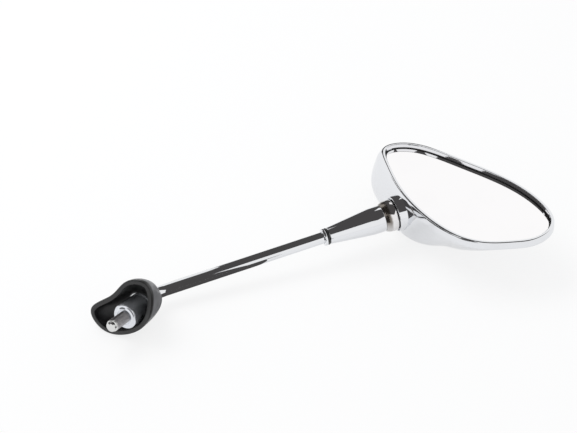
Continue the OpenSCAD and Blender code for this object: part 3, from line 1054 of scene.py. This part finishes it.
def build_post(side):
    """One post that carries a lug of the socket, from the lug down into the pod's wall."""
    middle = WALL / 2
    wide, tall = 96, 16
    skin = [[bezier(*head_rib(i * len(HEAD_SHAPE) / wide, middle, HEAD_DEEP - middle),
                    1 - k / tall) for i in range(wide)] for k in range(1, tall + 1)]
    hole_end = SCREW_TIP - 0.4
    top = LUG_LOW - FIT
    profile = [(0, hole_end), (SCREW_R, hole_end), (SCREW_R, top), (POST_R, top),
               (POST_R, CUT_FROM), (0, CUT_FROM)]
    place = AT_LEVEL @ shift(side * LUG_X, 0, 0)
    post = turned(f"screw_post_{side + 1}", profile, place, steps=48)
    core = ring_mesh("skin_core", skin, AT_HEAD, lifted(BELLY_AT, middle - HEAD_DEEP),
                     Vector((0, 0, -RIM_BAND)))
    cut(post, core, "INTERSECT")
    return post


class MIRROR_OT_housing(bpy.types.Operator):
    """Skins the pod-shaped housing with its rim, glass ledge, neck hole and screw posts"""
    bl_idname = "mirror.housing"
    bl_label = "Housing"

    def execute(self, context):
        pod = skin_pod(settings("housing"))
        open_neck(pod)
        finish_piece(pod, "head", chrome_material(), "chrome_plate", "housing")
        collar = turn_neck_ring(settings("chrome").steps)
        finish_piece(collar, "head", chrome_material(), "chrome_plate")
        for side in (-1, 1):
            finish_piece(build_post(side), "head", zinc_material(), "chrome_plate")
        return {"FINISHED"}


class MIRROR_OT_glass(bpy.types.Operator):
    """Cuts the mirror glass with its ground edge, lays its seal and gives the tape its finish"""
    bl_idname = "mirror.glass"
    bl_label = "Glass"

    def execute(self, context):
        s = settings("glass")
        around = 256
        inset = LIP + SEAL_W
        low = -GLASS_LOW - GLASS_T
        back_bevel = 0.3
        stations = [(inset + back_bevel, low), (inset, low + back_bevel),
                    (inset, -GLASS_LOW - s.bevel), (inset + s.bevel, -GLASS_LOW)]
        rings = [head_outline(inward, z, around) for inward, z in stations]
        middle = Vector((-5, 0))
        glass = ring_mesh("mirror_plate", rings, AT_HEAD, lifted(middle, low),
                          lifted(middle, -GLASS_LOW), sharp=20)
        glass_finish = made_once("silvered_glass", silvered_glass, tint=tuple(s.tint))
        finish_piece(glass, "head", glass_finish, "mirror_silver", "mirror_glass")
        line = head_outline(LIP + SEAL_W / 2, (LEDGE_TOP - GLASS_LOW) / 2, around)
        black = made_once("edge_rubber", rubber, tint=(0.006, 0.006, 0.006), roughness=0.5,
                             dusty=0.1)
        tube = made_once("swept_path", swept)
        seal = tube.make("rim_seal", AT_HEAD, black, path_mesh("seal_path", line, True),
                         Width=SEAL_W - SLIP, Height=-GLASS_LOW - LEDGE_TOP - SLIP, Steps=16)
        finish_piece(seal, "head", black, "black_rubber", "edge_seal")
        dress("foam_tape", made_once("tape_foam", foam, tint=(0.008, 0.008, 0.009)))
        return {"FINISHED"}


class MIRROR_OT_swivel(bpy.types.Operator):
    """Gives the hidden swivel hardware its finishes"""
    bl_idname = "mirror.swivel"
    bl_label = "Swivel hardware"

    def execute(self, context):
        bright = made_once("bright_steel", plated_steel, tint=(0.62, 0.63, 0.64),
                              roughness=0.14)
        spring = made_once("spring_steel", plated_steel, tint=(0.16, 0.15, 0.14),
                              roughness=0.26)
        for name in ("swivel_socket", "spherical_washer", "cup_washer", "boot_ring"):
            dress(name, bright)
        for name in ("swivel_bolt", "lock_nut"):
            dress(name, zinc_material())
        pair = screws("screw_pair").make(
            "socket_screw_pair", AT_LEVEL, zinc_material(), Spacing=2 * LUG_X, Tip=SCREW_TIP,
            Seat=LUG_LOW + LUG_T, Shank=SCREW_R - THREAD_FIT)
        finish_piece(pair, "head", zinc_material(), "zinc_steel", "socket_screws")
        dress("disc_springs", spring)
        dress("seat_liner", made_once("liner_nylon", nylon, tint=(0.012, 0.012, 0.013)))
        return {"FINISHED"}


# the stage: camera, light, table and cards

def plane(name, corners, material):
    """A flat stage piece from its corners, in metres."""
    mesh = bpy.data.meshes.new(name)
    mesh.from_pydata(corners, [], [tuple(range(len(corners)))])
    mesh.materials.append(material)
    obj = add_object(name, mesh)
    return obj


# height of the table, and corners of the dark cards, in metres
TABLE_Z = -0.0252
CARDS = {
    "ceiling_card": [(-1.15, -1.45, 1.72), (1.5, -1.5, 1.72), (1.4, 1.5, 1.72),
                     (-1.15, 1.5, 1.72)],
    "back_card": [(-0.02, 0.5, -0.02), (0.31, 0.5, -0.02), (0.31, 0.5, 0.25), (0.195, 0.5, 0.25),
                  (0.19, 0.5, 0.56), (-0.02, 0.5, 0.56)],
    "side_card": [(-1.05, 0.95, 0.12), (-1.0, -0.54, 0.12), (-0.75, -0.48, 1.5),
                  (-0.75, 0.85, 1.5)],
    "front_card": [(0.05, -0.12, -0.024), (0.225, -0.12, -0.024), (0.2, -0.12, 0.08),
                   (0.175, -0.12, 0.22), (0.05, -0.12, 0.22)],
    "table_card": [(0.05, -0.12, -0.0245), (0.24, -0.12, -0.0245), (0.211, -0.035, -0.0245),
                   (0.157, 0.01, -0.0245), (0.125, 0.06, -0.0245), (0.09, 0.1, -0.0245),
                   (0.03, 0.09, -0.0245), (0.028, -0.02, -0.0245)],
}

# places in metres, and shares of white
CAMERA_AT = (0.12953, -1.03471, 0.97184)
CAMERA_TILT = 50
LAMP_AT = (-0.5, 0.5, 1.3)
LAMP_AIM = (0.12, 0.08, 0)
LAMP_SIZE = (1.2, 0.8)
DAYLIGHT = 0.75
TABLE_SEEN = 0.8
TABLE_MIRRORED = 0.6


def add_camera(lens):
    """The camera at the photograph's angle."""
    data = bpy.data.cameras.new("camera")
    data.lens = lens
    data.sensor_width = 36.0
    data.clip_start = 0.05
    camera = add_object("camera", data)
    camera.location = CAMERA_AT
    camera.rotation_euler = (radians(CAMERA_TILT), 0, 0)
    bpy.context.scene.camera = camera


def light_world():
    """A pale tent of light, which the camera and the chrome see as white."""
    world = bpy.data.worlds.new("tent")
    world.use_nodes = True
    tent = Nodes(world.node_tree)
    tent.tree.nodes.clear()
    white = (tent.node("LightPath", output="Is Camera Ray")
             + tent.node("LightPath", output="Is Glossy Ray")).clamped()
    lit = tent.node("Background", Color=(0.97, 0.98, 1.0), Strength=DAYLIGHT)
    seen = tent.node("Background", Color=(1.0, 1.0, 1.0), Strength=1.0)
    tent.node("OutputWorld", Surface=tent.node("MixShader", Fac=white, Shader=lit,
                                               Shader_001=seen))
    bpy.context.scene.world = world


def lay_table():
    """The pale table that the mirror lies on, which keeps its shadow."""
    top = Finish("pale_table")
    shaded = top.node("BsdfPrincipled", Base_Color=(0.92, 0.92, 0.925), Roughness=0.6,
                      Specular_IOR_Level=0.0)
    glow = top.node("Emission", Color=(1.0, 1.0, 1.0), Strength=1.0)
    share = (top.node("LightPath", output="Is Camera Ray") * TABLE_SEEN
             + top.node("LightPath", output="Is Glossy Ray") * TABLE_MIRRORED)
    top.node("OutputMaterial", Surface=top.node("MixShader", Fac=share, Shader=shaded,
                                                Shader_001=glow))
    corners = [(x, y, TABLE_Z) for x, y in ((-3, -3), (3, -3), (3, 3), (-3, 3))]
    plane("table", corners, top.material)


def hang_cards():
    """The dark cards, which only reflections show."""
    dark = Finish("dark_card")
    cloth = dark.node("Emission", Color=(0.074, 0.071, 0.071), Strength=1.0)
    dark.node("OutputMaterial", Surface=cloth)
    for name, corners in CARDS.items():
        card = plane(name, corners, dark.material)
        card.visible_camera = False
        card.visible_diffuse = False
        card.visible_shadow = False


def hang_lamp(power):
    """The soft lamp from the upper left, which leaves no glint."""
    data = bpy.data.lights.new("soft_lamp", "AREA")
    data.shape = "RECTANGLE"
    data.size, data.size_y = LAMP_SIZE
    data.energy = power
    lamp = add_object("soft_lamp", data)
    lamp.location = LAMP_AT
    aim = Vector(LAMP_AIM) - lamp.location
    lamp.rotation_euler = aim.to_track_quat("-Z", "Y").to_euler()
    lamp.visible_glossy = False


class MIRROR_OT_stage(bpy.types.Operator):
    """Sets up the camera, the pale table, the soft light and the dark cards"""
    bl_idname = "mirror.stage"
    bl_label = "Stage"

    def execute(self, context):
        s = settings("stage")
        context.scene.view_settings.view_transform = "Standard"
        add_camera(s.lens)
        light_world()
        lay_table()
        if s.card_shows:
            hang_cards()
        hang_lamp(s.lamp_power)
        return {"FINISHED"}


class MIRROR_PT_panel(bpy.types.Panel):
    """Lists the steps that dress the mirror"""
    bl_label = "Motorcycle mirror"
    bl_idname = "MIRROR_PT_panel"
    bl_space_type = "VIEW_3D"
    bl_region_type = "UI"
    bl_category = "Mirror"

    def draw(self, context):
        for operator in OPERATORS:
            self.layout.operator(operator.bl_idname)
        for name in GROUPS:
            box = self.layout.box()
            for key in GROUPS[name].__annotations__:
                box.prop(settings(name), key)


GROUPS = {"chrome": ChromeSettings, "housing": HousingSettings, "boot": BootSettings,
          "stud": StudSettings, "glass": GlassSettings, "stage": StageSettings}
OPERATORS = (MIRROR_OT_stage, MIRROR_OT_stem, MIRROR_OT_foot, MIRROR_OT_stud, MIRROR_OT_boot,
             MIRROR_OT_sleeve, MIRROR_OT_knuckle, MIRROR_OT_housing, MIRROR_OT_glass,
             MIRROR_OT_swivel)


def register():
    for group in GROUPS.values():
        bpy.utils.register_class(group)
    for operator in OPERATORS:
        bpy.utils.register_class(operator)
    bpy.utils.register_class(MIRROR_PT_panel)
    for name, group in GROUPS.items():
        setattr(bpy.types.Scene, "mirror_" + name, PointerProperty(type=group))


def unregister():
    for name in GROUPS:
        delattr(bpy.types.Scene, "mirror_" + name)
    bpy.utils.unregister_class(MIRROR_PT_panel)
    for operator in reversed(OPERATORS):
        bpy.utils.unregister_class(operator)
    for group in reversed(list(GROUPS.values())):
        bpy.utils.unregister_class(group)


def main():
    register()
    for operator in OPERATORS:
        group, name = operator.bl_idname.split(".")
        getattr(getattr(bpy.ops, group), name)()


if __name__ == "__main__":
    main()
